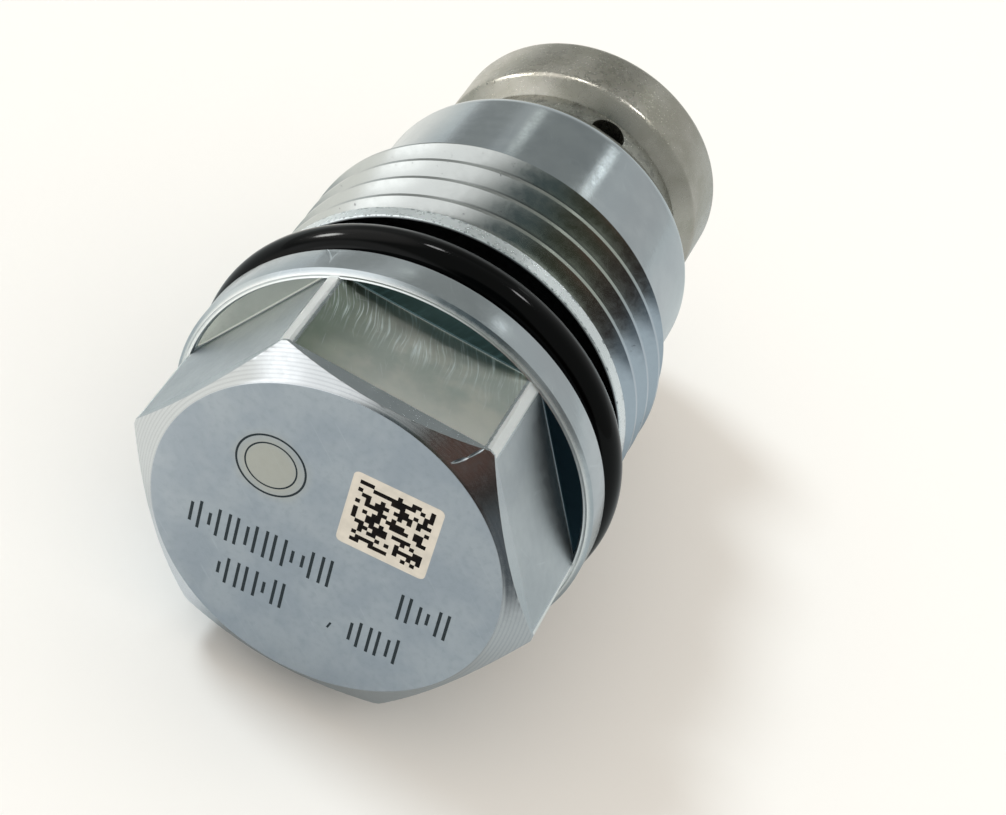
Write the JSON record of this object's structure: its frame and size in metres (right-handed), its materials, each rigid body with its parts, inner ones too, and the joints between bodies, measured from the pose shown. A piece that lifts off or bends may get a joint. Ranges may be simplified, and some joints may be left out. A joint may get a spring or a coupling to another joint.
{
  "type": "cartridge valve",
  "caption": "Screw-in pressure-limiting cartridge valve with a hexagon head, sealing ring, threaded body, drilled seat nose and a spring-loaded closing cone inside.",
  "frame": {"origin": "centre of the hexagon's outer end face", "axes": "+Y along the valve's axis from the hexagon to the seat nose, +Z out of one hexagon flat (up as the valve lies)"},
  "size_m": [0.0264, 0.043, 0.0264],
  "materials": {
    "zinc_plated_steel": "bright zinc plate with a bluish cast",
    "black_rubber": "smooth, lightly oiled",
    "bare_steel": "turned, unplated, warm grey",
    "ground_steel": "hardened and ground",
    "spring_steel": "dark drawn wire",
    "shim_steel": "rolled strip"
  },
  "bodies": {
    "housing": {"valve_body": "zinc_plated_steel", "o_ring": "black_rubber", "seat_nose": "bare_steel", "main_spring": "spring_steel", "spring_stop": "bare_steel", "stop_rod": "ground_steel", "setting_shim_1": "shim_steel", "setting_shim_2": "shim_steel", "setting_shim_3": "shim_steel"},
    "closing_cone": {"valve_cone": "ground_steel", "damping_piston": "ground_steel", "piston_clip": "spring_steel", "spring_plate": "bare_steel"}
  },
  "joints": [
    {"name": "cone_lift", "type": "slide", "parent": "housing", "child": "closing_cone", "axis": [0, -1, 0], "range_m": [0, 0.0012], "stiffness_N_per_m": 1000, "springref_m": -0.001, "deforming": ["main_spring"]}
  ]
}
